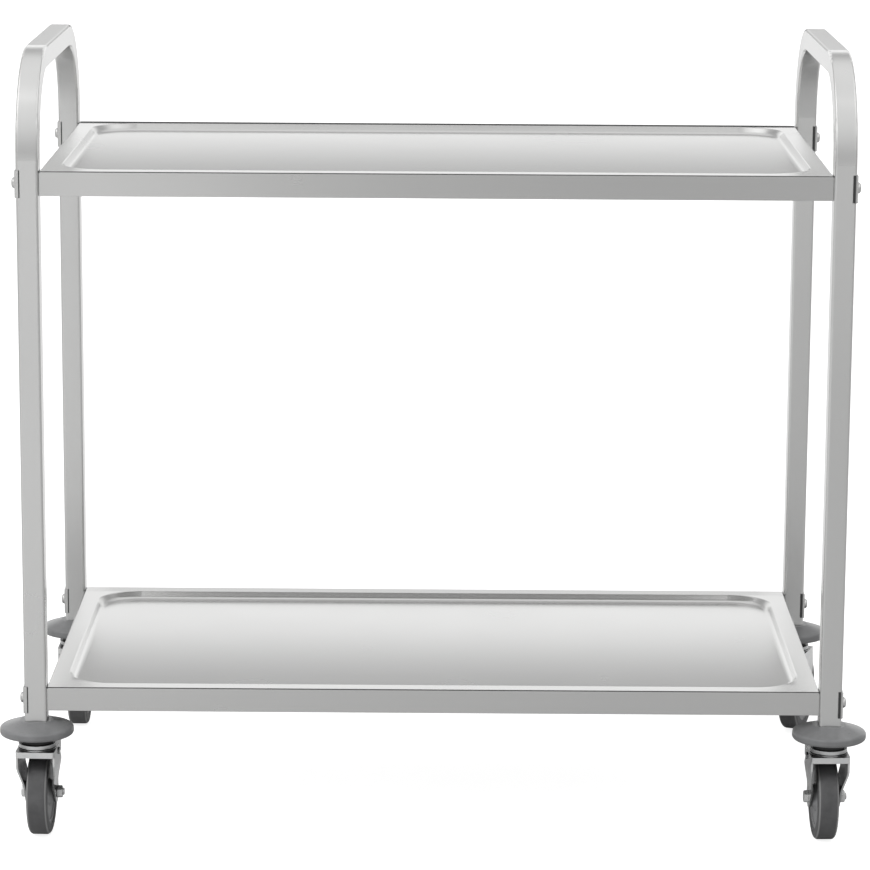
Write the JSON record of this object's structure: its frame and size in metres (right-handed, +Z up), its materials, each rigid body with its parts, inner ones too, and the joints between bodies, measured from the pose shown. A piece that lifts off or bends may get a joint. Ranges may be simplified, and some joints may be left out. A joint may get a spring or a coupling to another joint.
{
  "type": "service cart",
  "caption": "Stainless service cart: pressed tray shelves bolted between bent square-tube end frames with push handles, on bumper discs and swivel casters with foot brakes",
  "frame": {"origin": "On the floor, midway between the four posts", "axes": "+X along the shelves to the right as seen from the front, +Y to the back, +Z up"},
  "size_m": [0.9996, 0.5851, 0.913],
  "materials": {
    "stainless": "brushed",
    "zinc": "bright zinc plate",
    "bumper_grey": "smooth matt",
    "hub_grey": "moulded",
    "tyre_grey": "matt rubber",
    "seal_black": "matt",
    "plug_plastic": "moulded"
  },
  "bodies": {
    "cart_frame": {"left_frame": "stainless", "right_frame": "stainless", "upper_shelf": "stainless", "lower_shelf": "stainless", "upper_shelf_channel": "stainless", "lower_shelf_channel": "stainless", "upper_shelf_bolts": "stainless", "lower_shelf_bolts": "stainless", "upper_shelf_nuts": "zinc", "lower_shelf_nuts": "zinc", "upper_corner_plates": "zinc", "lower_corner_plates": "zinc", "upper_saddles": "stainless", "lower_saddles": "stainless", "post_plugs": "plug_plastic", "dust_seals": "seal_black", "front_left_bumper": "bumper_grey", "front_left_stem": "zinc", "front_right_bumper": "bumper_grey", "front_right_stem": "zinc", "rear_left_bumper": "bumper_grey", "rear_left_stem": "zinc", "rear_right_bumper": "bumper_grey", "rear_right_stem": "zinc"},
    "front_left_brake": {"front_left_brake_pedal": "zinc"},
    "front_left_swivel": {"front_left_balls": "zinc", "front_left_fork": "zinc", "front_left_axle_bolt": "zinc", "front_left_axle_nut": "zinc", "front_left_hub_bush": "zinc", "front_left_brake_pin": "zinc"},
    "front_left_wheel": {"front_left_wheel_hub": "hub_grey", "front_left_tyre": "tyre_grey"},
    "front_right_brake": {"front_right_brake_pedal": "zinc"},
    "front_right_swivel": {"front_right_balls": "zinc", "front_right_fork": "zinc", "front_right_axle_bolt": "zinc", "front_right_axle_nut": "zinc", "front_right_hub_bush": "zinc", "front_right_brake_pin": "zinc"},
    "front_right_wheel": {"front_right_wheel_hub": "hub_grey", "front_right_tyre": "tyre_grey"},
    "rear_left_swivel": {"rear_left_balls": "zinc", "rear_left_fork": "zinc", "rear_left_axle_bolt": "zinc", "rear_left_axle_nut": "zinc", "rear_left_hub_bush": "zinc"},
    "rear_left_wheel": {"rear_left_wheel_hub": "hub_grey", "rear_left_tyre": "tyre_grey"},
    "rear_right_swivel": {"rear_right_balls": "zinc", "rear_right_fork": "zinc", "rear_right_axle_bolt": "zinc", "rear_right_axle_nut": "zinc", "rear_right_hub_bush": "zinc"},
    "rear_right_wheel": {"rear_right_wheel_hub": "hub_grey", "rear_right_tyre": "tyre_grey"}
  },
  "joints": [
    {"name": "front_left_swivel_turn", "type": "hinge", "parent": "cart_frame", "child": "front_left_swivel", "pos_m": [-0.4573, -0.2313, 0.112], "axis": [0, 0, 1], "continuous": true},
    {"name": "front_left_wheel_spin", "type": "hinge", "parent": "front_left_swivel", "child": "front_left_wheel", "pos_m": [-0.45625, -0.20132, 0.05], "axis": [0.9994, -0.0349, 0], "continuous": true},
    {"name": "front_left_brake_press", "type": "hinge", "parent": "front_left_swivel", "child": "front_left_brake", "pos_m": [-0.45674, -0.21531, 0.1038], "axis": [-0.9994, 0.0349, 0], "range_deg": [0, 10]},
    {"name": "front_right_swivel_turn", "type": "hinge", "parent": "cart_frame", "child": "front_right_swivel", "pos_m": [0.4573, -0.2313, 0.112], "axis": [0, 0, 1], "continuous": true},
    {"name": "front_right_wheel_spin", "type": "hinge", "parent": "front_right_swivel", "child": "front_right_wheel", "pos_m": [0.45625, -0.20132, 0.05], "axis": [0.9994, 0.0349, 0], "continuous": true},
    {"name": "front_right_brake_press", "type": "hinge", "parent": "front_right_swivel", "child": "front_right_brake", "pos_m": [0.45674, -0.21531, 0.1038], "axis": [-0.9994, -0.0349, 0], "range_deg": [0, 10]},
    {"name": "rear_left_swivel_turn", "type": "hinge", "parent": "cart_frame", "child": "rear_left_swivel", "pos_m": [-0.4573, 0.2313, 0.112], "axis": [0, 0, 1], "continuous": true},
    {"name": "rear_left_wheel_spin", "type": "hinge", "parent": "rear_left_swivel", "child": "rear_left_wheel", "pos_m": [-0.4573, 0.2613, 0.05], "axis": [1, 0, 0], "continuous": true},
    {"name": "rear_right_swivel_turn", "type": "hinge", "parent": "cart_frame", "child": "rear_right_swivel", "pos_m": [0.4573, 0.2313, 0.112], "axis": [0, 0, 1], "continuous": true},
    {"name": "rear_right_wheel_spin", "type": "hinge", "parent": "rear_right_swivel", "child": "rear_right_wheel", "pos_m": [0.46756, 0.25949, 0.05], "axis": [0.9397, -0.342, 0], "continuous": true}
  ]
}
